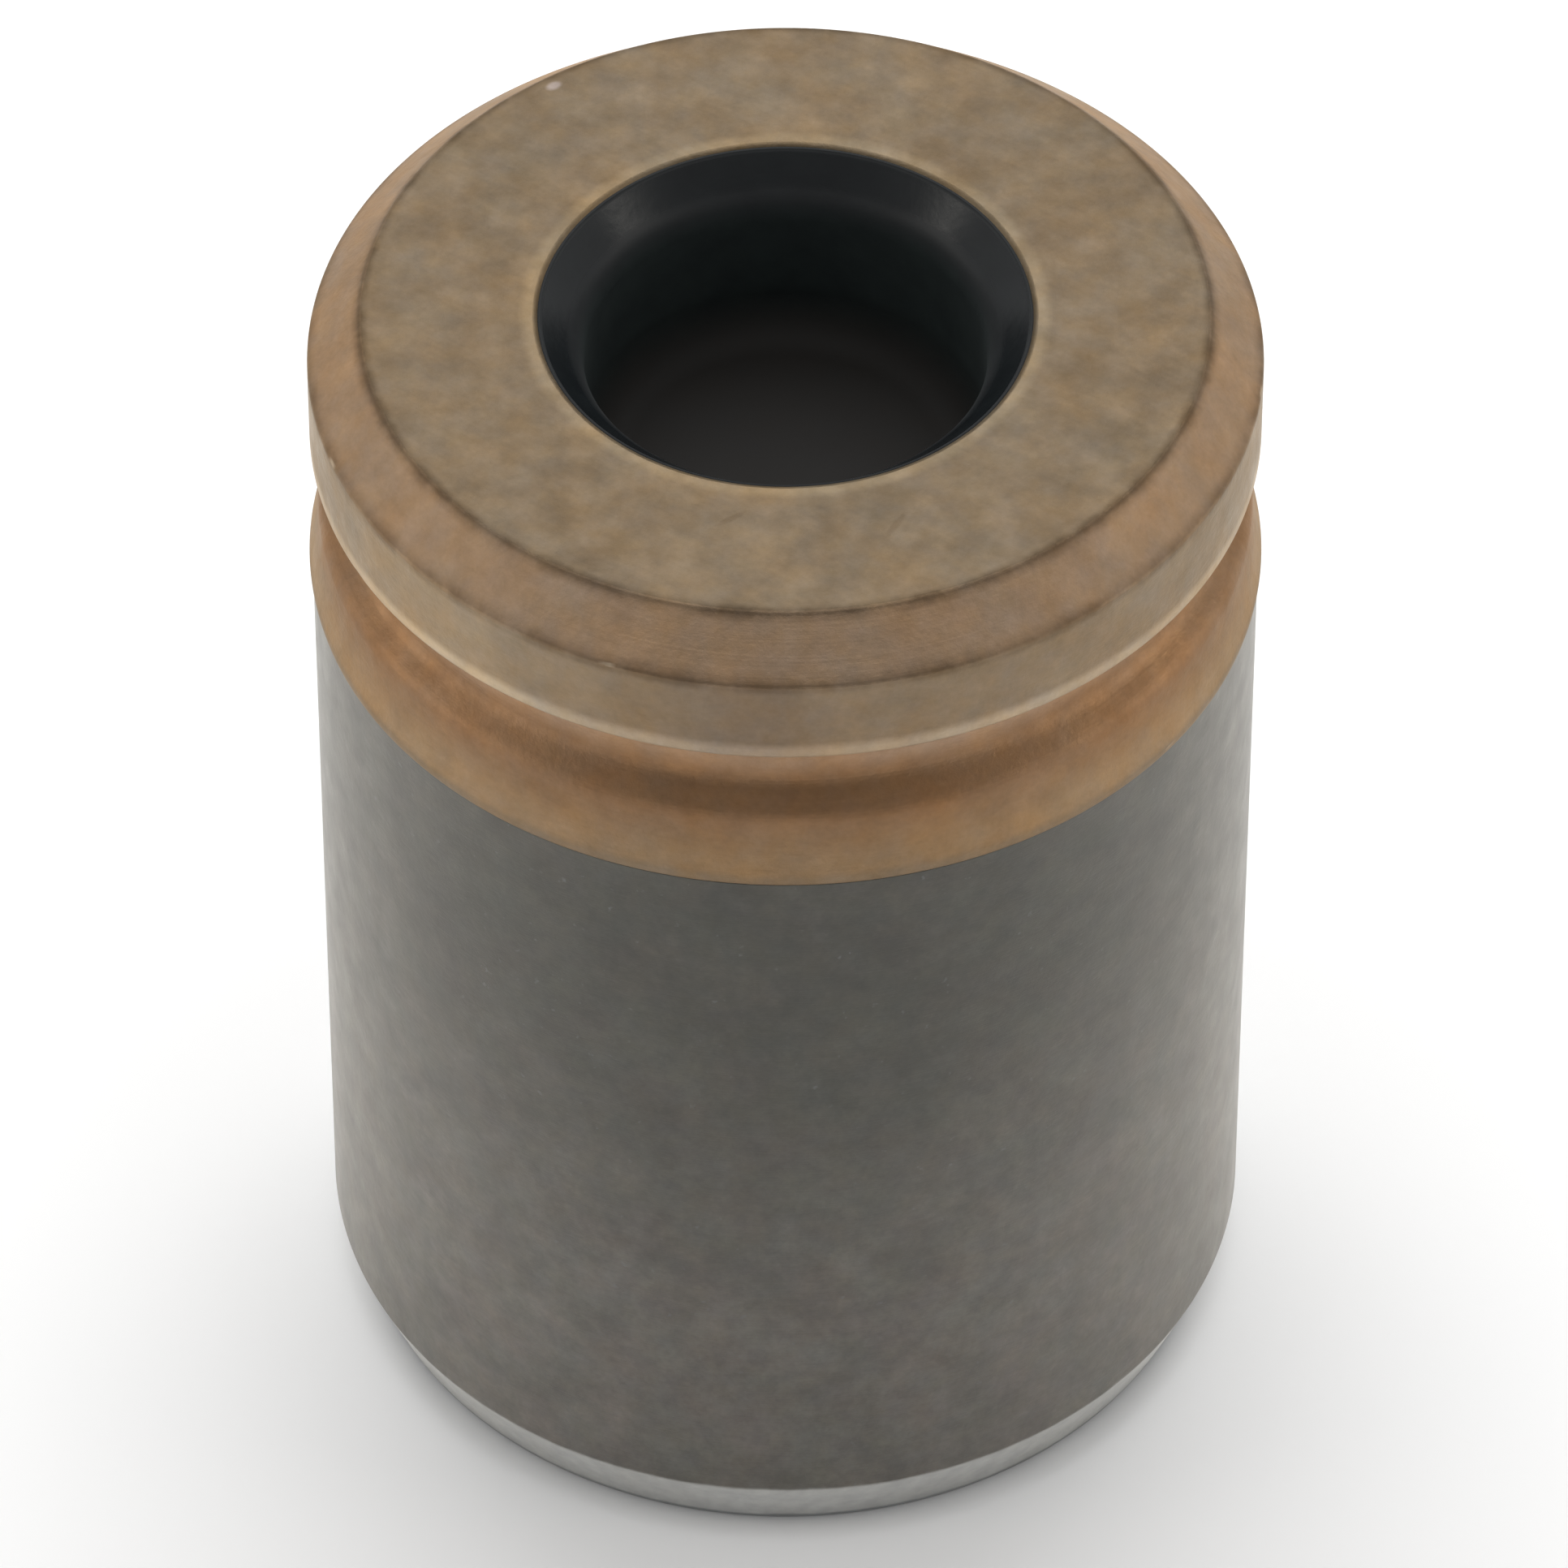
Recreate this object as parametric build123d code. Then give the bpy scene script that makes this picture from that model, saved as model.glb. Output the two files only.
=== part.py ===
from build123d import *
import os

# A composite sleeve bush: a bronze body with a grooved head, a ground steel sleeve pressed onto
# its shank, and a black bearing cup pressed into its head. Millimetres. The bush stands on its
# shank end, with z = 0 at the bottom, its axis on Z and its head up.

# Driving dimensions of the outside
TOTAL_HEIGHT = 51.8
SLEEVE_DIAMETER = 38.0
SLEEVE_LENGTH = 39.0
SLEEVE_WALL = 2.5
LEAD_IN_WIDTH = 1.3
LEAD_IN_HEIGHT = 3.2

# The head, from the top face down
FACE_DIAMETER = 33.6
LAND_DIAMETER = 37.9
CHAMFER_DEPTH = 2.05
LAND_DEPTH = 5.9
GROOVE_DIAMETER = 35.4
GROOVE_DEPTH = 9.4
NECK_DIAMETER = 37.4
COLLAR_DIAMETER = 38.2
COLLAR_HEIGHT = 0.5

# The cup in the head
MOUTH_DIAMETER = 19.6
MOUTH_BREAK_WIDTH = 0.2
MOUTH_BREAK_DEPTH = 0.1
CUP_BORE_DIAMETER = 16.0
CUP_RIM_WIDTH = 0.1
CUP_BORE_DEPTH = 8.2
CUP_FLOOR_THICKNESS = 2.4
CUP_CORNER_RADIUS = 1.7
CUP_MOUTH_RADIUS = 1.5
CUP_FOOT_CHAMFER = 0.5

# Edges and blends
GROOVE_WALL_RUN = 1.0
GROOVE_TOP_TAPER = 0.2
GROOVE_TOP_RADIUS = 0.5
GROOVE_FOOT_RADIUS = 1.2
NECK_RADIUS = 1.2
LAND_EDGE_RADIUS = 0.15
SHARP_EDGE_BREAK = 0.12
SLEEVE_END_BREAK = 0.3
SHANK_END_CHAMFER = 0.4

# Levels above the bottom, worked out from the driving dimensions
sleeve_top = SLEEVE_LENGTH
collar_top = sleeve_top + COLLAR_HEIGHT
neck_level = TOTAL_HEIGHT - GROOVE_DEPTH
groove_foot = neck_level + GROOVE_WALL_RUN
land_bottom = TOTAL_HEIGHT - LAND_DEPTH
land_top = TOTAL_HEIGHT - CHAMFER_DEPTH
cup_rim = TOTAL_HEIGHT - MOUTH_BREAK_DEPTH
cup_floor = TOTAL_HEIGHT - CUP_BORE_DEPTH
cup_bottom = cup_floor - CUP_FLOOR_THICKNESS

# Radii
sleeve_radius = SLEEVE_DIAMETER / 2
shank_radius = sleeve_radius - SLEEVE_WALL
face_radius = FACE_DIAMETER / 2
land_radius = LAND_DIAMETER / 2
groove_radius = GROOVE_DIAMETER / 2
neck_radius = NECK_DIAMETER / 2
collar_radius = COLLAR_DIAMETER / 2
mouth_radius = MOUTH_DIAMETER / 2
cup_bore_radius = CUP_BORE_DIAMETER / 2


def outline(*edges):
    """The face, in the XZ plane, whose closed outline is these edges, given as (radius, height)."""
    return make_face(Wire(edges=[Plane.XZ * edge for edge in edges]))


def corner(face, radius, height):
    """The vertex of a face that lies at this radius and height."""
    return face.vertices().sort_by_distance((radius, 0, height))[0]


def spun(face):
    """The solid that a face sweeps in one turn about the part's axis."""
    return revolve(face, Axis.Z)


def lines(*points):
    """Straight edges from each point to the next."""
    return [Line(start, end) for start, end in zip(points, points[1:])]


def bronze_body():
    """One turned bronze piece: the shank, the collar, the grooved head and the cup's pocket."""
    below_collar = lines(
        (0, cup_bottom),
        (0, 0),
        (shank_radius - SHANK_END_CHAMFER, 0),
        (shank_radius, SHANK_END_CHAMFER),
        (shank_radius, sleeve_top),
        (collar_radius, sleeve_top),
    )
    # The cove is upright at the neck, under the groove, and flares out to the collar, whose
    # outside carries on from it and curves back in
    cove_start = (neck_radius, neck_level)
    cove = TangentArc(cove_start, (collar_radius, collar_top), tangent=(0, -1))
    collar = TangentArc((collar_radius, collar_top), (collar_radius, sleeve_top), tangent=cove % 1)
    above_cove = lines(
        cove_start,
        (groove_radius, groove_foot),
        (groove_radius, land_bottom - GROOVE_TOP_TAPER),
        (land_radius, land_bottom),
        (land_radius, land_top),
        (face_radius, TOTAL_HEIGHT),
        (mouth_radius + MOUTH_BREAK_WIDTH, TOTAL_HEIGHT),
        (mouth_radius, cup_rim),
        (mouth_radius, cup_bottom),
        (0, cup_bottom),
    )
    face = outline(*below_collar, collar, cove, *above_cove)
    blends = (
        (neck_radius, neck_level, NECK_RADIUS),
        (groove_radius, groove_foot, GROOVE_FOOT_RADIUS),
        (groove_radius, land_bottom - GROOVE_TOP_TAPER, GROOVE_TOP_RADIUS),
        (land_radius, land_bottom, LAND_EDGE_RADIUS),
        (land_radius, land_top, SHARP_EDGE_BREAK),
        (face_radius, TOTAL_HEIGHT, SHARP_EDGE_BREAK),
    )
    for radius, height, blend in blends:
        face = fillet(corner(face, radius, height), blend)
    return spun(face)


def steel_sleeve():
    """The ground tube on the shank, with a long lead-in at its open end."""
    edges = lines(
        (shank_radius, SLEEVE_END_BREAK),
        (shank_radius + SLEEVE_END_BREAK, 0),
        (sleeve_radius - LEAD_IN_WIDTH, 0),
        (sleeve_radius, LEAD_IN_HEIGHT),
        (sleeve_radius, sleeve_top - SHARP_EDGE_BREAK),
        (sleeve_radius - SHARP_EDGE_BREAK, sleeve_top),
        (shank_radius, sleeve_top),
        (shank_radius, SLEEVE_END_BREAK),
    )
    face = outline(*edges)
    foot = corner(face, sleeve_radius - LEAD_IN_WIDTH, 0)
    return spun(fillet(foot, SLEEVE_END_BREAK))


def bearing_cup():
    """The black cup in the head: a countersunk mouth that rounds into a plain bore, and a floor."""
    countersink_top = mouth_radius - CUP_RIM_WIDTH
    countersink_depth = countersink_top - cup_bore_radius
    edges = lines(
        (0, cup_floor),
        (0, cup_bottom),
        (mouth_radius - CUP_FOOT_CHAMFER, cup_bottom),
        (mouth_radius, cup_bottom + CUP_FOOT_CHAMFER),
        (mouth_radius, cup_rim),
        (countersink_top, cup_rim),
        (cup_bore_radius, cup_rim - countersink_depth),
        (cup_bore_radius, cup_floor),
        (0, cup_floor),
    )
    face = outline(*edges)
    floor_corner = corner(face, cup_bore_radius, cup_floor)
    face = fillet(floor_corner, CUP_CORNER_RADIUS)
    countersink_foot = corner(face, cup_bore_radius, cup_rim - countersink_depth)
    return spun(fillet(countersink_foot, CUP_MOUTH_RADIUS))


nodes = {
    "bronze_body": bronze_body(),
    "steel_sleeve": steel_sleeve(),
    "bearing_cup": bearing_cup(),
}
os.makedirs("parts", exist_ok=True)
for name, solid in nodes.items():
    export_step(solid, f"parts/{name}.step")
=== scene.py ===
# Looks for a composite sleeve bush: a turned bronze body with a grooved head, a ground steel
# sleeve round its shank and a black bearing cup in its head. Metres, except where a name or a
# comment says millimetres; z = 0 at the bottom, the axis on Z and the head up.
import math
import random

import bpy
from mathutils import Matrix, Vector


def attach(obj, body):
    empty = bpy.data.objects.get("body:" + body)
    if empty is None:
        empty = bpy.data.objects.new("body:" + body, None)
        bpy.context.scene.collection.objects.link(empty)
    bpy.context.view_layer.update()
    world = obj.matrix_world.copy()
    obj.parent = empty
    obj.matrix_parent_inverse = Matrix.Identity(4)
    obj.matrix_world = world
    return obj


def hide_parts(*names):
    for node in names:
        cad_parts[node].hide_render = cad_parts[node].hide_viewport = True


MM = 0.001
SEGMENTS = 480  # columns round every turned piece
ARC_STEP = math.radians(9)  # the most that one step of a rounding turns
END_STEPS = (0.1, 0.25, 0.5)  # millimetres from each end of a long run to its nearest points
LONGEST_STEP = 2.4  # millimetres between the points in the middle of a long run
DOWN = -math.pi / 2

# Radii, and levels above the bottom, that the outlines, dents and materials share, in millimetres
BORE_RADIUS = 8.0
MOUTH_RADIUS = 9.8
SHANK_RADIUS = 16.5
FACE_RADIUS = 16.8
GROOVE_RADIUS = 17.7
FOOT_RADIUS = 17.7
NECK_RADIUS = 18.7
LAND_RADIUS = 18.95
SLEEVE_RADIUS = 19.0
COLLAR_RADIUS = 19.09
TOP = 51.8
RIM = 51.7
COUNTERSINK_FOOT = 50.0
LAND_TOP = 49.75
LAND_BOTTOM = 45.9
GROOVE_TOP_LEVEL = 45.7
CUP_FLOOR = 43.6
GROOVE_FOOT = 43.4
NECK_LEVEL = 42.4
CUP_BOTTOM = 41.2
COLLAR_TOP = 39.5
JOINT = 39.0
LEAD_IN_TOP = 3.2

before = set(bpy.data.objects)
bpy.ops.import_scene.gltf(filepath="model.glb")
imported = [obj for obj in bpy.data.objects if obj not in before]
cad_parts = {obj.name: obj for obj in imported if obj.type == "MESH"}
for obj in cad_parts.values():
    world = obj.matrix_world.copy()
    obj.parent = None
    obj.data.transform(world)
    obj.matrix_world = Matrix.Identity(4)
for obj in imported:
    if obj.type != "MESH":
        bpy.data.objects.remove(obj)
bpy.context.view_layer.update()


# ---------------------------------------------------------------- outlines, in millimetres


def tangent_arc(start, heading, end, steps):
    """Corners after start on the arc that leaves it at heading and reaches end, and its last heading."""
    across, up = end[0] - start[0], end[1] - start[1]
    turn = 2 * (math.atan2(up, across) - heading)
    diameter = math.hypot(across, up) / math.sin(turn / 2)
    corners = []
    for step in range(1, steps + 1):
        half = turn * step / steps / 2
        reach = diameter * math.sin(half)
        radius = start[0] + reach * math.cos(heading + half)
        height = start[1] + reach * math.sin(heading + half)
        corners.append((radius, height, 0))
    return corners, heading + turn


def rounded(corners):
    """The closed outline of (radius, height, rounding) corners, with an arc at each rounding."""
    outline = []
    befores = corners[-1:] + corners[:-1]
    afters = corners[1:] + corners[:1]
    for before, here, after in zip(befores, corners, afters):
        point = Vector(here[:2])
        if here[2] == 0:
            outline.append(point)
            continue
        back = (Vector(before[:2]) - point).normalized()
        ahead = (Vector(after[:2]) - point).normalized()
        half = back.angle(ahead) / 2
        centre = point + (back + ahead).normalized() * here[2] / math.sin(half)
        spoke = point + back * here[2] / math.tan(half) - centre
        sweep = math.pi - 2 * half
        if back.x * ahead.y - back.y * ahead.x > 0:
            sweep = -sweep
        steps = max(3, math.ceil(abs(sweep) / ARC_STEP))
        for step in range(steps + 1):
            angle = sweep * step / steps
            turned = Vector((
                spoke.x * math.cos(angle) - spoke.y * math.sin(angle),
                spoke.x * math.sin(angle) + spoke.y * math.cos(angle),
            ))
            outline.append(centre + turned)
    return outline


def refined(outline):
    """The outline with more points on its long runs, closest together near their ends."""
    finer = []
    for start, end in zip(outline, outline[1:] + outline[:1]):
        finer.append(start)
        length = (end - start).length
        if length < 3 * END_STEPS[-1]:
            continue
        middle = length - 2 * END_STEPS[-1]
        count = math.ceil(middle / LONGEST_STEP)
        stops = list(END_STEPS)
        stops += [END_STEPS[-1] + middle * step / count for step in range(1, count)]
        stops += [length - stop for stop in reversed(END_STEPS)]
        finer += [start.lerp(end, stop / length) for stop in stops]
    return finer


# The cove under the groove is upright at the neck and flares out to the collar's proud lip. Its
# first corner is left out below, because the neck's rounding takes its place.
neck = (NECK_RADIUS, NECK_LEVEL)
collar_edge = (COLLAR_RADIUS, COLLAR_TOP)
cove, cove_heading = tangent_arc(neck, DOWN, collar_edge, 9)
lip, _ = tangent_arc(collar_edge, cove_heading, (COLLAR_RADIUS, JOINT), 8)

# Each corner is its radius, its level and its rounding
BRONZE_CORNERS = [
    (0, CUP_BOTTOM, 0),
    (0, 0, 0),
    (SHANK_RADIUS - 0.4, 0, 0.08),
    (SHANK_RADIUS, 0.4, 0.08),
    (SHANK_RADIUS, JOINT, 0),
    *reversed(lip),
    *reversed(cove[1:]),
    (NECK_RADIUS, NECK_LEVEL, 1.2),
    (GROOVE_RADIUS, GROOVE_FOOT, 1.2),
    (GROOVE_RADIUS, GROOVE_TOP_LEVEL, 0.5),
    (LAND_RADIUS, LAND_BOTTOM, 0.15),
    (LAND_RADIUS, LAND_TOP, 0.3),
    (FACE_RADIUS, TOP, 0.3),
    (MOUTH_RADIUS + 0.2, TOP, 0.1),
    (MOUTH_RADIUS, RIM, 0),
    (MOUTH_RADIUS, CUP_BOTTOM, 0),
]
SLEEVE_CORNERS = [
    (SHANK_RADIUS, 0.3, 0.05),
    (SHANK_RADIUS + 0.3, 0, 0.05),
    (FOOT_RADIUS, 0, 0.3),
    (SLEEVE_RADIUS, LEAD_IN_TOP, 0.1),
    (SLEEVE_RADIUS, JOINT - 0.12, 0.04),
    (SLEEVE_RADIUS - 0.12, JOINT, 0.04),
    (SHANK_RADIUS, JOINT, 0),
]
CUP_CORNERS = [
    (0, CUP_FLOOR, 0),
    (0, CUP_BOTTOM, 0),
    (MOUTH_RADIUS - 0.5, CUP_BOTTOM, 0.1),
    (MOUTH_RADIUS, CUP_BOTTOM + 0.5, 0.1),
    (MOUTH_RADIUS, RIM, 0),
    (MOUTH_RADIUS - 0.1, RIM, 0.03),
    (BORE_RADIUS, COUNTERSINK_FOOT, 1.5),
    (BORE_RADIUS, CUP_FLOOR, 1.7),
]


# ---------------------------------------------------------------- meshes


def ding(azimuth, radius, height, reach, depth):
    """A small dent: its centre, how far it reaches round and across, and how deep, in millimetres."""
    place = Vector((radius * math.cos(azimuth), radius * math.sin(azimuth), height))
    return place, azimuth, reach, depth


def dented(point, dings):
    """The point, in millimetres, pushed in by the dents near it, and how worn it is there."""
    worn = 0.0
    moved = point.copy()
    for place, azimuth, reach, depth in dings:
        away = point - place
        if away.length > 2 * max(reach):
            continue
        outward = Vector((math.cos(azimuth), math.sin(azimuth), 0))
        sideways = Vector((-math.sin(azimuth), math.cos(azimuth), 0))
        round_share = away.dot(sideways) / reach[0]
        across_share = math.hypot(away.dot(outward), away.z) / reach[1]
        hold = max(0.0, 1 - round_share ** 2 - across_share ** 2)
        hold = hold * hold * (3 - 2 * hold)
        moved -= outward * depth * hold
        worn = max(worn, hold)
    return moved, worn


def turned_piece(name, corners, surface, node, dings=()):
    """The closed outline swept once round Z as one solid, standing for a CAD node.

    A point on the axis makes one vertex, and any other makes a row of them. The map runs round
    the piece in u and along its outline in v, and the point attribute "worn" is 1 in a dent.
    """
    outline = refined(rounded(corners))
    lengths = [(after - here).length for here, after in zip(outline, outline[1:] + outline[:1])]
    total = sum(lengths)
    rows, vertices, wear = [], [], []
    for point in outline:
        columns = 1 if point.x < 1e-6 else SEGMENTS
        rows.append([len(vertices) + column % columns for column in range(SEGMENTS)])
        for column in range(columns):
            azimuth = 2 * math.pi * column / SEGMENTS
            place = Vector((point.x * math.cos(azimuth), point.x * math.sin(azimuth), point.y))
            place, worn = dented(place, dings)
            vertices.append(place * MM)
            wear.append(worn)
    faces, spots = [], []
    along = 0.0
    for index, length in enumerate(lengths):
        low, high = rows[index], rows[(index + 1) % len(rows)]
        start, end = along / total, (along + length) / total
        along += length
        if low[0] == low[1] and high[0] == high[1]:
            continue
        for column in range(SEGMENTS):
            after = (column + 1) % SEGMENTS
            left, right = column / SEGMENTS, (column + 1) / SEGMENTS
            corner_list = [
                (low[column], (left, start)),
                (low[after], (right, start)),
                (high[after], (right, end)),
                (high[column], (left, end)),
            ]
            if low[column] == low[after]:
                corner_list.pop(1)
            elif high[column] == high[after]:
                corner_list.pop(2)
            faces.append([corner for corner, spot in corner_list])
            spots += [spot for corner, spot in corner_list]
    mesh = bpy.data.meshes.new(name)
    mesh.from_pydata(vertices, [], faces)
    layer = mesh.uv_layers.new(name="Turned")
    for loop, spot in zip(layer.data, spots):
        loop.uv = spot
    attribute = mesh.attributes.new("worn", "FLOAT", "POINT")
    attribute.data.foreach_set("value", wear)
    mesh.shade_smooth()
    mesh.validate()
    mesh.materials.append(surface)
    piece = bpy.data.objects.new(name, mesh)
    bpy.context.scene.collection.objects.link(piece)
    crisp = piece.modifiers.new("crisp_edges", "WEIGHTED_NORMAL")
    crisp.weight = 50
    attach(piece, "root")
    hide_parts(node)
    return piece


# ---------------------------------------------------------------- materials


class Surface:
    """A material's nodes, made by short calls whose inputs are numbers, colours or sockets."""

    def __init__(self, name):
        self.material = bpy.data.materials.new(name)
        self.material.use_nodes = True
        self.tree = self.material.node_tree
        self.shader = self.tree.nodes["Principled BSDF"]
        place = self.tree.nodes.new("ShaderNodeTexCoord").outputs["Object"]
        self.place = self.vector("SCALE", place, scale=1 / MM)  # millimetres
        split = self.tree.nodes.new("ShaderNodeSeparateXYZ")
        self.tree.links.new(self.place, split.inputs[0])
        x, y, self.height = split.outputs
        squares = self.math("ADD", self.math("MULTIPLY", x, x), self.math("MULTIPLY", y, y))
        self.radius = self.math("SQRT", squares)
        self.azimuth = self.math("ARCTAN2", y, x)

    def put(self, socket, value):
        """Link the socket to another, or set it to a number or colour; None leaves it alone."""
        if isinstance(value, bpy.types.NodeSocket):
            self.tree.links.new(value, socket)
        elif value is not None:
            socket.default_value = value

    def math(self, operation, first, second=None):
        """The result of a Math node."""
        node = self.tree.nodes.new("ShaderNodeMath")
        node.operation = operation
        self.put(node.inputs[0], first)
        self.put(node.inputs[1], second)
        return node.outputs[0]

    def vector(self, operation, first, second=None, scale=None):
        """The result of a Vector Math node."""
        node = self.tree.nodes.new("ShaderNodeVectorMath")
        node.operation = operation
        self.put(node.inputs[0], first)
        self.put(node.inputs[1], second)
        self.put(node.inputs[3], scale)
        return node.outputs[0]

    def pair(self, first, second):
        """A place made from two numbers."""
        node = self.tree.nodes.new("ShaderNodeCombineXYZ")
        self.put(node.inputs[0], first)
        self.put(node.inputs[1], second)
        return node.outputs[0]

    def noise(self, size, detail=3.0, place=None, stretch=(1, 1, 1), shift=0.0, rough=0.55):
        """Noise from about 0 to 1 with features of that size in millimetres, longer where stretched."""
        spread = tuple(1 / (size * times) for times in stretch)
        where = self.vector("MULTIPLY", place or self.place, spread)
        if shift:
            where = self.vector("ADD", where, (shift, shift, shift))
        node = self.tree.nodes.new("ShaderNodeTexNoise")
        self.put(node.inputs["Vector"], where)
        node.inputs["Scale"].default_value = 1.0
        node.inputs["Detail"].default_value = detail
        node.inputs["Roughness"].default_value = rough
        return node.outputs["Fac"]

    def step(self, value, low, high, start=0.0, end=1.0):
        """start below low, end above high, and a smooth step between."""
        node = self.tree.nodes.new("ShaderNodeMapRange")
        node.interpolation_type = "SMOOTHSTEP"
        for socket, number in zip(node.inputs, (value, low, high, start, end)):
            self.put(socket, number)
        return node.outputs[0]

    def band(self, value, low, high, soft):
        """1 from low to high and 0 outside, over a soft edge."""
        rise = self.step(value, low - soft, low + soft)
        fall = self.step(value, high - soft, high + soft, 1.0, 0.0)
        return self.math("MULTIPLY", rise, fall)

    def ramp(self, value, stops):
        """A colour for each value: stops are (value, colour), and the value runs in their range."""
        low, high = stops[0][0], stops[-1][0]
        share = self.math("DIVIDE", self.math("SUBTRACT", value, low), high - low)
        node = self.tree.nodes.new("ShaderNodeValToRGB")
        elements = node.color_ramp.elements
        while len(elements) < len(stops):
            elements.new(1.0)
        for element, (at, colour) in zip(elements, stops):
            element.position = (at - low) / (high - low)
            element.color = (*colour, 1)
        self.put(node.inputs[0], share)
        return node.outputs[0]

    def blend(self, kind, share, first, second):
        """Two colours mixed, multiplied and so on, by a share from 0 to 1."""
        node = self.tree.nodes.new("ShaderNodeMix")
        node.data_type = "RGBA"
        node.blend_type = kind
        node.clamp_factor = True
        self.put(node.inputs[0], share)
        for socket, colour in ((node.inputs[6], first), (node.inputs[7], second)):
            if isinstance(colour, tuple):
                colour = (*colour, 1)
            self.put(socket, colour)
        return node.outputs[2]

    def mottled(self, colour, size, swing, shift, strength=1.0, **noise):
        """The colour with patches of that size, each channel up or down by its share in swing."""
        low = tuple(1 - share for share in swing)
        high = tuple(1 + share for share in swing)
        patches = self.noise(size, shift=shift, **noise)
        return self.blend("MULTIPLY", strength, colour, self.ramp(patches, [(0.32, low), (0.68, high)]))

    def turned(self, place, angle):
        """A place in millimetres, turned about Z by an angle in degrees."""
        node = self.tree.nodes.new("ShaderNodeMapping")
        node.inputs["Rotation"].default_value = (0, 0, math.radians(angle))
        self.put(node.inputs["Vector"], place)
        return node.outputs[0]

    def mark(self, spot, angle, reach):
        """1 in a small oval on the face at spot (x, y), lying at an angle in degrees, fading to 0."""
        away = self.vector("SUBTRACT", self.place, (*spot, TOP))
        share = self.vector("DIVIDE", self.turned(away, -angle), (*reach, 0.5))
        node = self.tree.nodes.new("ShaderNodeVectorMath")
        node.operation = "LENGTH"
        self.put(node.inputs[0], share)
        return self.step(node.outputs["Value"], 0.35, 1.0, 1.0, 0.0)

    def bump(self, height, depth, below=None):
        """Relief from a height of 0 to 1 that stands for this depth in millimetres."""
        node = self.tree.nodes.new("ShaderNodeBump")
        node.inputs["Strength"].default_value = 1.0
        node.inputs["Distance"].default_value = depth * MM
        self.put(node.inputs["Height"], height)
        self.put(node.inputs["Normal"], below)
        return node.outputs[0]

    def wear(self):
        """1 in a dent, fading to 0 round it."""
        node = self.tree.nodes.new("ShaderNodeAttribute")
        node.attribute_name = "worn"
        return node.outputs["Fac"]

    def finish(self, colour, roughness, normal, **numbers):
        """The material, its shader fed by three sockets; the numbers are the same all over it."""
        self.put(self.shader.inputs["Base Color"], colour)
        self.put(self.shader.inputs["Roughness"], roughness)
        self.put(self.shader.inputs["Normal"], normal)
        for name, number in numbers.items():
            self.shader.inputs[name.replace("_", " ")].default_value = number
        return self.material


# The bronze's colour in each zone
FACE = (0.138, 0.103, 0.067)
MOUTH_RING = (0.18, 0.136, 0.086)
CHAMFER = (0.356, 0.250, 0.163)
LAND = (0.246, 0.182, 0.119)
# The land's lower edge: partly burnished, partly a painted highlight where the edge catches the light
LAND_EDGE = (0.400, 0.310, 0.215)
GROOVE_TOP = (0.360, 0.235, 0.140)
GROOVE = (0.412, 0.270, 0.168)
# The shelf and the top of the cove are darker: browning, and painted shade under the groove's overhang
SHELF = (0.312, 0.184, 0.099)
COVE_TOP = (0.272, 0.158, 0.084)
COVE = (0.290, 0.186, 0.106)
COVE_FOOT = (0.335, 0.224, 0.128)
COLLAR = (0.262, 0.187, 0.118)
SHANK_END = (0.22, 0.165, 0.110)

# How the bronze's colour runs from the mouth out over the face, and on down the outside.
# The distance in millimetres is the radius on the face plus the depth below it.
BRONZE_ALONG = [
    (9.8, MOUTH_RING),
    (10.25, MOUTH_RING),
    (10.6, FACE),
    (16.75, FACE),
    (17.0, CHAMFER),
    (18.7, CHAMFER),
    (19.05, LAND),
    (21.9, LAND),
    # The land's lower edge, partly a painted highlight
    (22.3, LAND_EDGE),
    (22.7, LAND_EDGE),
    (22.95, GROOVE_TOP),
    (24.1, GROOVE),
    (24.9, SHELF),
    (26.4, COVE_TOP),
    (27.6, COVE),
    (28.6, COVE_FOOT),
    (29.0, COVE_FOOT),
    (29.3, COLLAR),
    (30.0, COLLAR),
]


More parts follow.
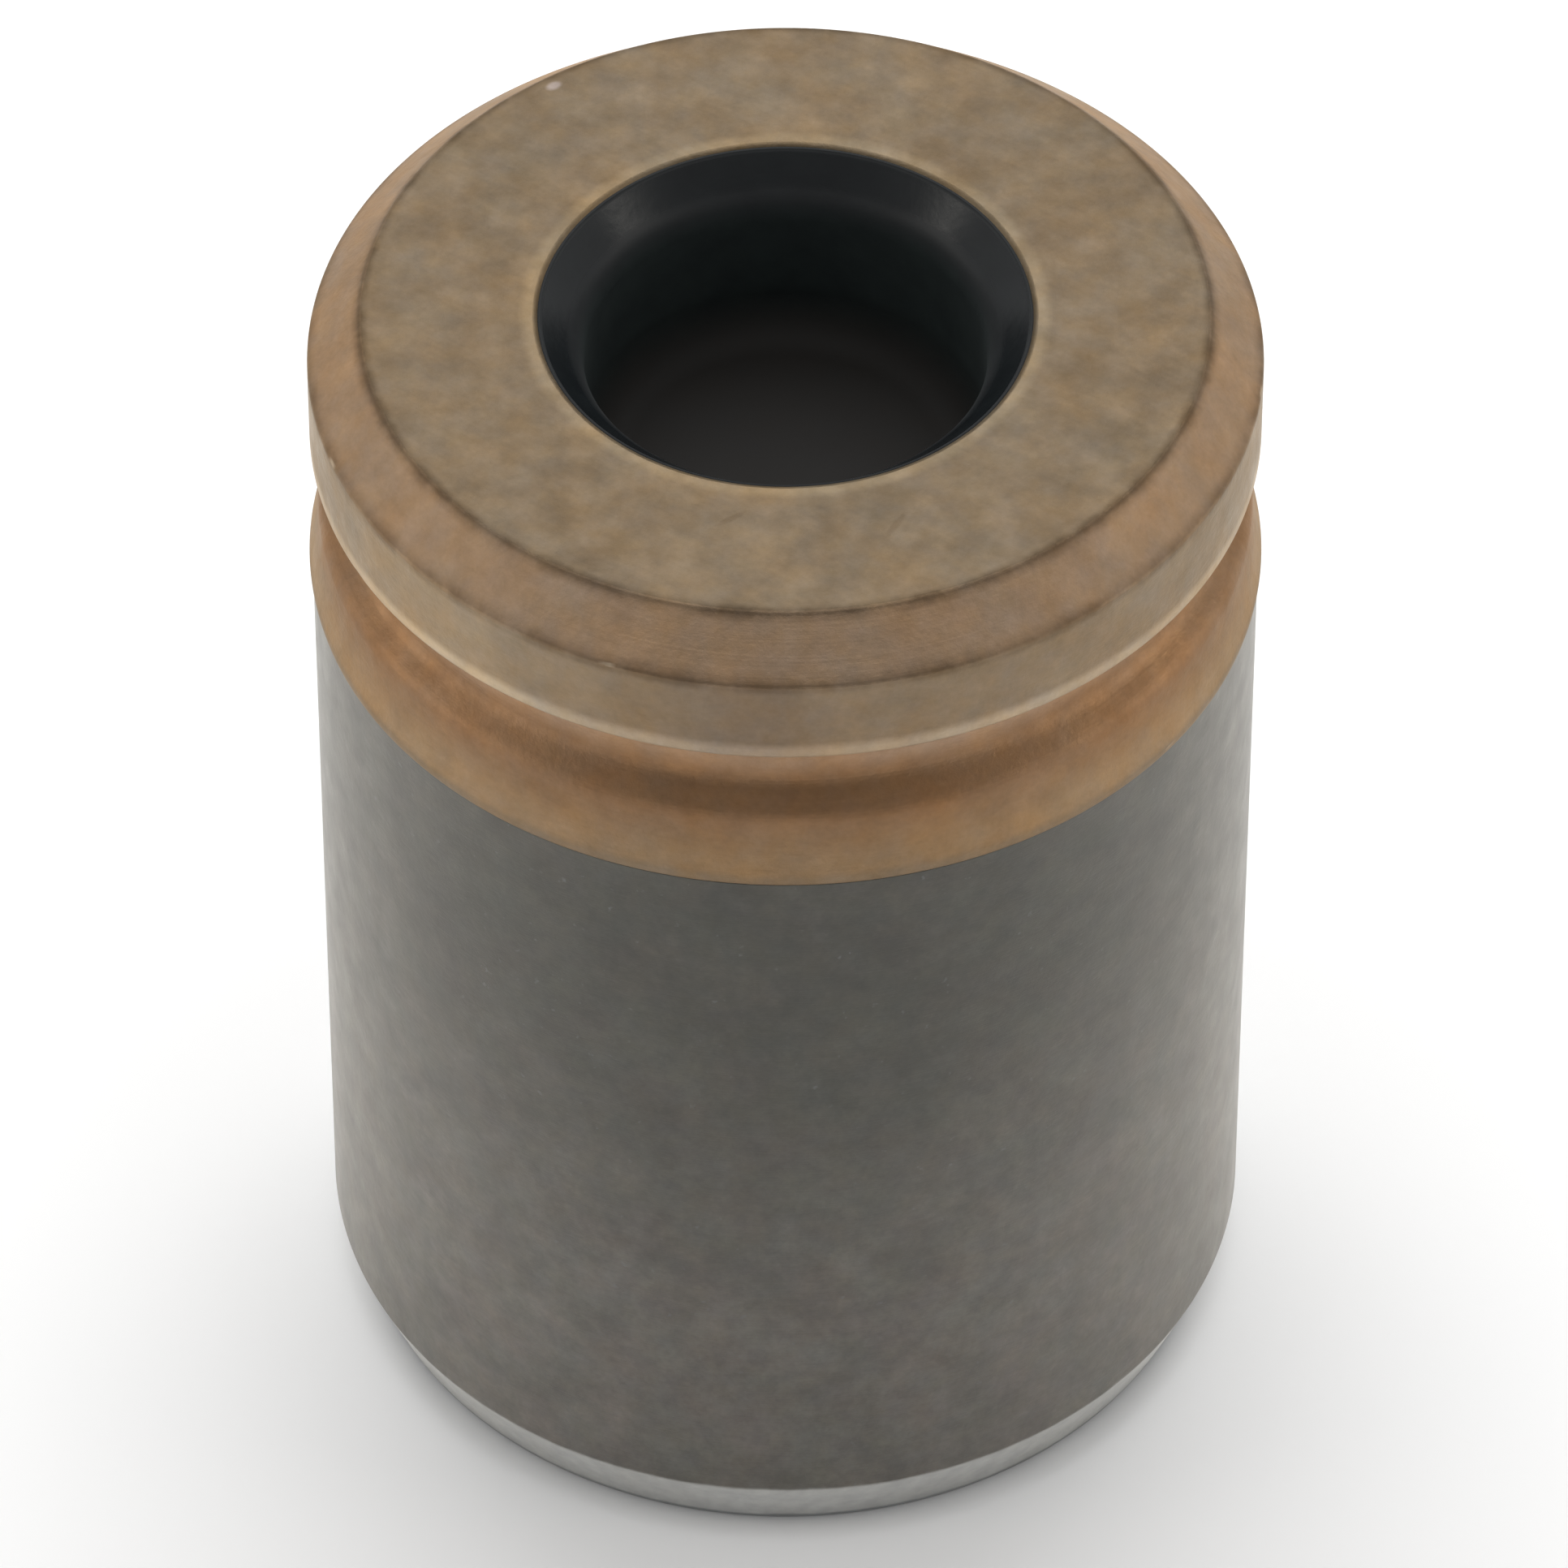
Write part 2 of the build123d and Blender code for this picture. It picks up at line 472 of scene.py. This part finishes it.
def bronze():
    """Turned and blasted bronze, browned and painted with shade in its groove and cove, and bare on its
    ground land, with painted light and shade on the land and at the chamfer's edges.
    """
    made = Surface("turned_bronze")
    inward = made.math("MINIMUM", made.radius, FACE_RADIUS)
    along = made.math("ADD", inward, made.math("SUBTRACT", TOP, made.height))
    wander = made.math("SUBTRACT", made.noise(0.9, detail=4.0), 0.5)
    wavy = made.math("ADD", along, made.math("MULTIPLY", wander, 0.15))
    zones = made.ramp(wavy, BRONZE_ALONG)
    # The shank's end, seen only from below
    underside = made.step(made.height, 1.0, 1.5, 1.0, 0.0)
    zones = made.blend("MIX", underside, zones, SHANK_END)

    # Painted edge shade, partly real oxide, along both edges of the chamfer, thin in places
    edge_shade_and_oxide = made.step(made.noise(1.6, detail=3.0, shift=21.0), 0.34, 0.62, 0.45, 1.0)
    face_line = made.band(wavy, 16.60, 17.06, 0.18)
    land_line = made.band(wavy, 18.62, 19.14, 0.24)
    lines = made.math("MULTIPLY", made.math("MAXIMUM", face_line, land_line), edge_shade_and_oxide)
    zones = made.blend("MULTIPLY", lines, zones, (0.61, 0.58, 0.55))

    # The ground land is painted darker at the front, a painted shade, and paler to the left of it, a
    # painted highlight. Azimuths are in radians, and the front, -Y, is at -1.57.
    ground = made.band(along, 18.9, 22.6, 0.1)
    painted_front_shade = made.math("MULTIPLY", ground, made.band(made.azimuth, -1.76, -1.52, 0.16))
    pale = made.math("MULTIPLY", ground, made.band(made.azimuth, -2.60, -2.15, 0.28))
    zones = made.blend("MULTIPLY", painted_front_shade, zones, (0.84, 0.84, 0.90))
    zones = made.blend("MULTIPLY", pale, zones, (1.27, 1.27, 1.24))

    # Stains a few millimetres across, finer ones over them, and a fine grain; the groove is calmer
    clear = made.step(along, 22.7, 23.3, 1.0, 0.5)
    zones = made.mottled(zones, 2.2, (0.078, 0.078, 0.074), 3.1, clear, detail=4.0)
    zones = made.mottled(zones, 0.9, (0.045, 0.045, 0.052), 16.0, clear)
    zones = made.mottled(zones, 0.3, (0.042, 0.042, 0.050), 7.7, rough=0.7)
    # Red and olive casts where the finish has tarnished
    zones = made.mottled(zones, 3.2, (0.035, -0.010, -0.075), 12.4)
    zones = made.mottled(zones, 1.1, (0.020, -0.005, -0.060), 31.5)
    # Faint strokes left by wiping
    wiped = made.turned(made.place, 35)
    zones = made.mottled(zones, 0.25, (0.028, 0.028, 0.028), 5.5, place=wiped, stretch=(7, 1, 1))

    # A pale nick at the back left of the face, and two dark scratches at its front
    nick = made.mark((-9.32, 13.31), 35, (0.45, 0.30))
    zones = made.blend("MIX", made.math("MULTIPLY", nick, 0.45), zones, (0.36, 0.31, 0.30))
    scratch = made.mark((4.31, -11.98), 60, (0.95, 0.20))
    scratch = made.math("MAXIMUM", scratch, made.mark((-2.11, -11.68), 35, (0.85, 0.18)))
    zones = made.blend("MULTIPLY", scratch, zones, (0.86, 0.84, 0.82))
    # Bare metal in the dents
    zones = made.blend("MIX", made.wear(), zones, (0.40, 0.32, 0.23))

    # Turning marks round the axis: rings on the face, threads down the outside
    rings = made.pair(made.math("MULTIPLY", along, 9.0), made.math("MULTIPLY", made.azimuth, 1.2))
    turning = made.noise(1.0, detail=2.0, place=rings)
    relief = made.bump(turning, 0.010)
    grain = made.noise(0.34, detail=3.0, shift=7.7, rough=0.7)
    relief = made.bump(grain, 0.026, relief)
    pits = made.math("MAXIMUM", scratch, nick)
    relief = made.bump(made.math("SUBTRACT", 1.0, pits), 0.012, relief)

    # Smoother on the ground land, rougher on the blasted chamfer, and patchy all over
    stains = made.math("SUBTRACT", made.noise(1.5, detail=4.0, shift=3.1), 0.5)
    roughness = made.math("SUBTRACT", 0.55, made.math("MULTIPLY", ground, 0.16))
    blasted = made.band(along, 17.0, 18.8, 0.1)
    roughness = made.math("ADD", roughness, made.math("MULTIPLY", blasted, 0.10))
    roughness = made.math("ADD", roughness, made.math("MULTIPLY", stains, 0.35))
    tint = (1.0, 0.94, 0.85, 1)
    return made.finish(zones, roughness, relief, Metallic=1.0, Specular_Tint=tint)


# The steel's colour near the joint and near the foot, and on its bare lead-in. The lighter foot and
# darker joint are painted light and shade.
STEEL_HIGH = (0.0505, 0.0475, 0.0375)
STEEL_LOW = (0.124, 0.113, 0.097)
LEAD_IN = (0.56, 0.570, 0.570)


def steel():
    """Dark ground steel under a film of oil, with a bare turned lead-in at the open end."""
    made = Surface("ground_steel_dark")
    # Painted light and shade: the steel is lighter towards the foot and darker towards the joint
    body = made.blend("MIX", made.step(made.height, 8.0, 34.0), STEEL_LOW, STEEL_HIGH)
    body = made.mottled(body, 3.0, (0.15, 0.15, 0.15), 1.7, detail=4.0)
    body = made.mottled(body, 0.9, (0.13, 0.13, 0.13), 14.2)
    body = made.mottled(body, 0.3, (0.09, 0.09, 0.09), 5.2, rough=0.7)
    # Greenish, reddish and bluish casts
    body = made.mottled(body, 2.4, (0.030, -0.015, -0.010), 9.3)
    body = made.mottled(body, 1.3, (-0.016, 0.000, 0.050), 26.1)
    # Pale flecks
    flecks = made.step(made.noise(0.5, detail=2.0, shift=41.0), 0.68, 0.78, 0.0, 0.4)
    body = made.blend("MIX", flecks, body, (0.15, 0.155, 0.16))

    # Grinding marks run round the sleeve: short across, long around
    around = made.math("MULTIPLY", made.azimuth, 9.0)
    strands = made.pair(around, made.math("MULTIPLY", made.height, 16.0))
    grinding = made.noise(1.0, detail=3.0, place=strands, rough=0.6)
    pale = (1.06, 1.06, 1.06)
    dark = (0.94, 0.94, 0.94)
    body = made.blend("MULTIPLY", 1.0, body, made.ramp(grinding, [(0.25, dark), (0.75, pale)]))

    # The bare lead-in, whose upper edge wanders a little, and a dark line at its foot, a painted contact
    # shade where it meets the floor
    stains = made.math("SUBTRACT", made.noise(1.6, detail=4.0, shift=1.7), 0.5)
    level = made.math("ADD", made.height, made.math("MULTIPLY", stains, 0.3))
    lead = made.step(level, 2.95, 3.3, 1.0, 0.0)
    bare = made.mottled(LEAD_IN, 0.7, (0.10, 0.10, 0.09), 18.8)
    # Painted contact shade along the foot
    foot = made.step(level, 0.25, 0.5, 1.0, 0.0)
    bare = made.blend("MULTIPLY", foot, bare, (0.45, 0.48, 0.52))
    colour = made.blend("MIX", lead, body, bare)
    colour = made.blend("MIX", made.wear(), colour, (0.34, 0.34, 0.33))

    grain = made.noise(0.30, detail=3.0, shift=5.2, rough=0.7)
    relief = made.bump(grinding, 0.010)
    relief = made.bump(grain, 0.018, relief)
    roughness = made.math("ADD", 0.42, made.math("MULTIPLY", stains, 0.35))
    film = {"Coat_Weight": 1.0, "Coat_Roughness": 0.42}
    tint = (1.0, 0.95, 0.86, 1)
    return made.finish(colour, roughness, relief, Metallic=1.0, Specular_Tint=tint, **film)


def black():
    """Black bearing plastic: a glossy bluish countersink, and a duller, browner bore and floor, the
    floor's dark brown being painted shade and a painted reflection of the bronze.
    """
    made = Surface("black_bearing_plastic")
    # The floor is painted much darker than the wall, painted shade at the bottom of the bore, and brown,
    # a painted reflection of the bronze
    floor = made.step(made.height, 43.8, 46.2, 1.0, 0.0)
    colour = made.blend("MIX", floor, (0.020, 0.028, 0.028), (0.0028, 0.0016, 0.0004))
    sink = made.step(made.height, 49.2, 50.4)
    colour = made.blend("MIX", sink, colour, (0.0062, 0.0078, 0.0088))
    colour = made.mottled(colour, 1.6, (0.16, 0.16, 0.14), 2.0, detail=4.0)
    relief = made.bump(made.noise(0.4, detail=3.0, shift=4.4), 0.006)
    varied = made.math("MULTIPLY", made.math("SUBTRACT", made.noise(1.6, shift=2.0), 0.5), 0.04)
    roughness = made.math("ADD", made.step(made.height, 49.9, 50.8, 0.75, 0.23), varied)
    # The narrow rim round the mouth is dull
    roughness = made.math("ADD", roughness, made.step(made.radius, 9.58, 9.70, 0.0, 0.6))
    gloss = {"IOR": 1.5, "Specular_IOR_Level": 0.38}
    return made.finish(colour, roughness, relief, Metallic=0.0, **gloss)


# ---------------------------------------------------------------- the three pieces

# Dents on the edges of the head and on the sleeve's foot, in millimetres
random.seed(41)
HEAD_EDGES = [
    (LAND_RADIUS, LAND_TOP),
    (LAND_RADIUS, LAND_BOTTOM + 0.05),
    (COLLAR_RADIUS - 0.04, JOINT + 0.2),
    (FACE_RADIUS, TOP),
]
SLEEVE_FOOT = (FOOT_RADIUS + 0.05, 0.1)
DENT_DEPTH = (0.0096, 0.024)
DENT_WIDTH = (0.10, 0.16)
head_dings = []
for _ in range(8):
    azimuth = random.uniform(0, 2 * math.pi)
    radius, height = random.choice(HEAD_EDGES)
    reach = (random.uniform(0.3, 0.6), random.uniform(*DENT_WIDTH))
    head_dings.append(ding(azimuth, radius, height, reach, random.uniform(*DENT_DEPTH)))
sleeve_dings = []
for _ in range(6):
    azimuth = random.uniform(0, 2 * math.pi)
    reach = (random.uniform(0.3, 0.7), random.uniform(*DENT_WIDTH))
    sleeve_dings.append(ding(azimuth, *SLEEVE_FOOT, reach, random.uniform(*DENT_DEPTH)))

turned_piece("turned_body", BRONZE_CORNERS, bronze(), "bronze_body", head_dings)
turned_piece("ground_sleeve", SLEEVE_CORNERS, steel(), "steel_sleeve", sleeve_dings)
turned_piece("black_cup", CUP_CORNERS, black(), "bearing_cup")


# ---------------------------------------------------------------- floor, light and camera

FLOOR_HALF = 3.0
floor_mesh = bpy.data.meshes.new("floor")
floor_corners = [(-FLOOR_HALF, -FLOOR_HALF, 0), (FLOOR_HALF, -FLOOR_HALF, 0)]
floor_corners += [(FLOOR_HALF, FLOOR_HALF, 0), (-FLOOR_HALF, FLOOR_HALF, 0)]
floor_mesh.from_pydata(floor_corners, [], [(0, 1, 2, 3)])
floor_look = bpy.data.materials.new("pale_floor")
floor_look.use_nodes = True
floor_shader = floor_look.node_tree.nodes["Principled BSDF"]
floor_shader.inputs["Base Color"].default_value = (0.92, 0.92, 0.92, 1)
floor_shader.inputs["Roughness"].default_value = 0.8
floor_shader.inputs["Specular IOR Level"].default_value = 0.2
floor_mesh.materials.append(floor_look)
floor = bpy.data.objects.new("floor", floor_mesh)
bpy.context.scene.collection.objects.link(floor)

# An even sky that dims towards the camera's side, -Y, over this run of Y in its direction
SKY = 0.55
SKY_AT_CAMERA = 0.25
SKY_RUN = (-0.9, 0.1)
world = bpy.data.worlds.new("studio")
world.use_nodes = True
sky = world.node_tree.nodes["Background"]
sky.inputs["Color"].default_value = (1.0, 1.0, 1.0, 1)
heading = world.node_tree.nodes.new("ShaderNodeTexCoord")
split = world.node_tree.nodes.new("ShaderNodeSeparateXYZ")
dimming = world.node_tree.nodes.new("ShaderNodeMapRange")
dimming.interpolation_type = "SMOOTHSTEP"
for socket, number in zip(dimming.inputs[1:5], (*SKY_RUN, SKY_AT_CAMERA, SKY)):
    socket.default_value = number
world.node_tree.links.new(heading.outputs["Generated"], split.inputs[0])
world.node_tree.links.new(split.outputs["Y"], dimming.inputs[0])
world.node_tree.links.new(dimming.outputs[0], sky.inputs["Strength"])
bpy.context.scene.world = world

# Soft boxes: name, azimuth and elevation in degrees, distance, width, height and brightness.
# The azimuth is 0 on the camera's side and 90 to its right. Those at the sides are a little warm.
SOFT_BOXES = [
    ("left_box", -78, 30, 0.55, 0.15, 0.07, 3.6),
    ("right_box", 78, 30, 0.55, 0.15, 0.07, 3.5),
    ("left_strip", -85, 10, 0.70, 0.50, 0.20, 0.9),
    ("right_strip", 85, 10, 0.70, 0.50, 0.20, 0.8),
    ("left_foot", -80, 4, 0.60, 0.60, 0.09, 2.6),
    ("right_foot", 80, 4, 0.60, 0.60, 0.09, 2.6),
    ("back_box", 180, 45, 0.60, 0.80, 0.50, 2.3),
    ("top_box", 0, 90, 0.60, 0.50, 0.50, 1.6),
]
AIM = Vector((0, 0, 0.026))
WARM = (1.0, 0.955, 0.885)
WHITE = (1.0, 1.0, 1.0)
for name, azimuth, elevation, distance, width, height, brightness in SOFT_BOXES:
    lamp = bpy.data.lights.new(name, "AREA")
    lamp.shape = "RECTANGLE"
    lamp.size = width
    lamp.size_y = height
    lamp.energy = brightness * math.pi * width * height
    lamp.color = WARM if 0 < abs(azimuth) < 180 else WHITE
    box = bpy.data.objects.new(name, lamp)
    turn, lift = math.radians(azimuth), math.radians(elevation)
    away = Vector((
        math.sin(turn) * math.cos(lift),
        -math.cos(turn) * math.cos(lift),
        math.sin(lift),
    ))
    box.location = AIM + away * distance
    box.rotation_euler = away.to_track_quat("Z", "Y").to_euler()
    box.visible_camera = False
    bpy.context.scene.collection.objects.link(box)

# The camera, fitted to the photograph's ellipses
CAMERA_DISTANCE = 0.5167
CAMERA_LIFT = math.radians(45.356)
TARGET = Vector((0, 0, 0.02531))
camera_data = bpy.data.cameras.new("camera")
camera_data.sensor_width = 36
camera_data.lens = 289.5
camera_data.shift_x = -0.00093
camera_data.clip_start = 0.01
camera_data.clip_end = 20
camera = bpy.data.objects.new("camera", camera_data)
back = Vector((0, -math.cos(CAMERA_LIFT), math.sin(CAMERA_LIFT)))
camera.location = TARGET + back * CAMERA_DISTANCE
camera.rotation_euler = back.to_track_quat("Z", "Y").to_euler()
bpy.context.scene.collection.objects.link(camera)
bpy.context.scene.camera = camera
bpy.context.scene.view_settings.view_transform = "Standard"
